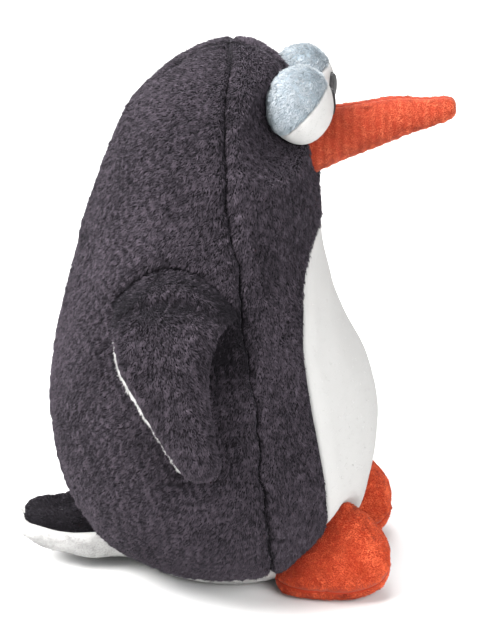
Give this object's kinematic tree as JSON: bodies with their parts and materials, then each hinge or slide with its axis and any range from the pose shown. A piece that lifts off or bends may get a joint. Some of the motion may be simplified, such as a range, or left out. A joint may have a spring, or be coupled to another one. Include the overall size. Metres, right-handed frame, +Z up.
{
  "type": "plush penguin",
  "caption": "Pear-shaped standing plush penguin with a long ribbed beak, ball eyes with lids, flat wings, padded feet and a short tail.",
  "frame": {"origin": "middle of the flat base that the penguin stands on", "axes": "+Z up, the penguin faces -Y, and its own left side is +X"},
  "size_m": [0.1756, 0.195, 0.2496],
  "materials": {
    "dark_plush": "short dense charcoal plush pile with a faint purple cast and pale sheen",
    "white_plush": "short dense white plush pile",
    "blue_plush": "short pale blue plush pile",
    "orange_plush": "short orange-red plush pile",
    "orange_ribbed": "orange-red plush with fine ribs round the beak",
    "black_embroidery": "satin stitched black thread with a slight gloss",
    "stuffing_fibre": "white polyester fibre filling",
    "pouch_cloth": "plain woven cotton pouch"
  },
  "bodies": {
    "body": {"back_panel_right": "dark_plush", "side_panel_right": "dark_plush", "back_panel_left": "dark_plush", "side_panel_left": "dark_plush", "belly_panel": "white_plush", "base_panel": "white_plush", "body_stuffing": "stuffing_fibre", "pellet_pouch": "pouch_cloth", "eye_white_right": "white_plush", "eyelid_right": "blue_plush", "eye_stuffing_right": "stuffing_fibre", "pupil_right": "black_embroidery", "eye_white_left": "white_plush", "eyelid_left": "blue_plush", "eye_stuffing_left": "stuffing_fibre", "pupil_left": "black_embroidery", "beak_right": "orange_ribbed", "beak_left": "orange_ribbed", "beak_stuffing": "stuffing_fibre"},
    "wing_right": {"wing_right_outer": "dark_plush", "wing_right_underside": "white_plush", "wing_right_stuffing": "stuffing_fibre"},
    "wing_left": {"wing_left_outer": "dark_plush", "wing_left_underside": "white_plush", "wing_left_stuffing": "stuffing_fibre"},
    "foot_right": {"foot_right_top": "orange_plush", "foot_right_sole": "orange_plush", "foot_right_stuffing": "stuffing_fibre"},
    "foot_left": {"foot_left_top": "orange_plush", "foot_left_sole": "orange_plush", "foot_left_stuffing": "stuffing_fibre"},
    "tail": {"tail_top": "dark_plush", "tail_underside": "white_plush", "tail_stuffing": "stuffing_fibre"}
  },
  "joints": [
    {"name": "wing_right_lift", "type": "hinge", "parent": "body", "child": "wing_right", "pos_m": [-0.06, 0.015, 0.161], "axis": [0, 1, 0], "range_deg": [0, 100], "stiffness_Nm_per_rad": 0.006},
    {"name": "wing_left_lift", "type": "hinge", "parent": "body", "child": "wing_left", "pos_m": [0.06, 0.015, 0.161], "axis": [0, -1, 0], "range_deg": [0, 100], "stiffness_Nm_per_rad": 0.006},
    {"name": "foot_right_lift", "type": "hinge", "parent": "body", "child": "foot_right", "pos_m": [-0.031, -0.06, 0.039], "axis": [-1, 0, 0], "range_deg": [0, 35], "stiffness_Nm_per_rad": 0.02},
    {"name": "foot_left_lift", "type": "hinge", "parent": "body", "child": "foot_left", "pos_m": [0.031, -0.06, 0.039], "axis": [-1, 0, 0], "range_deg": [0, 35], "stiffness_Nm_per_rad": 0.02},
    {"name": "tail_lift", "type": "hinge", "parent": "body", "child": "tail", "pos_m": [0, 0.066, 0.028], "axis": [1, 0, 0], "range_deg": [0, 45], "stiffness_Nm_per_rad": 0.015}
  ]
}
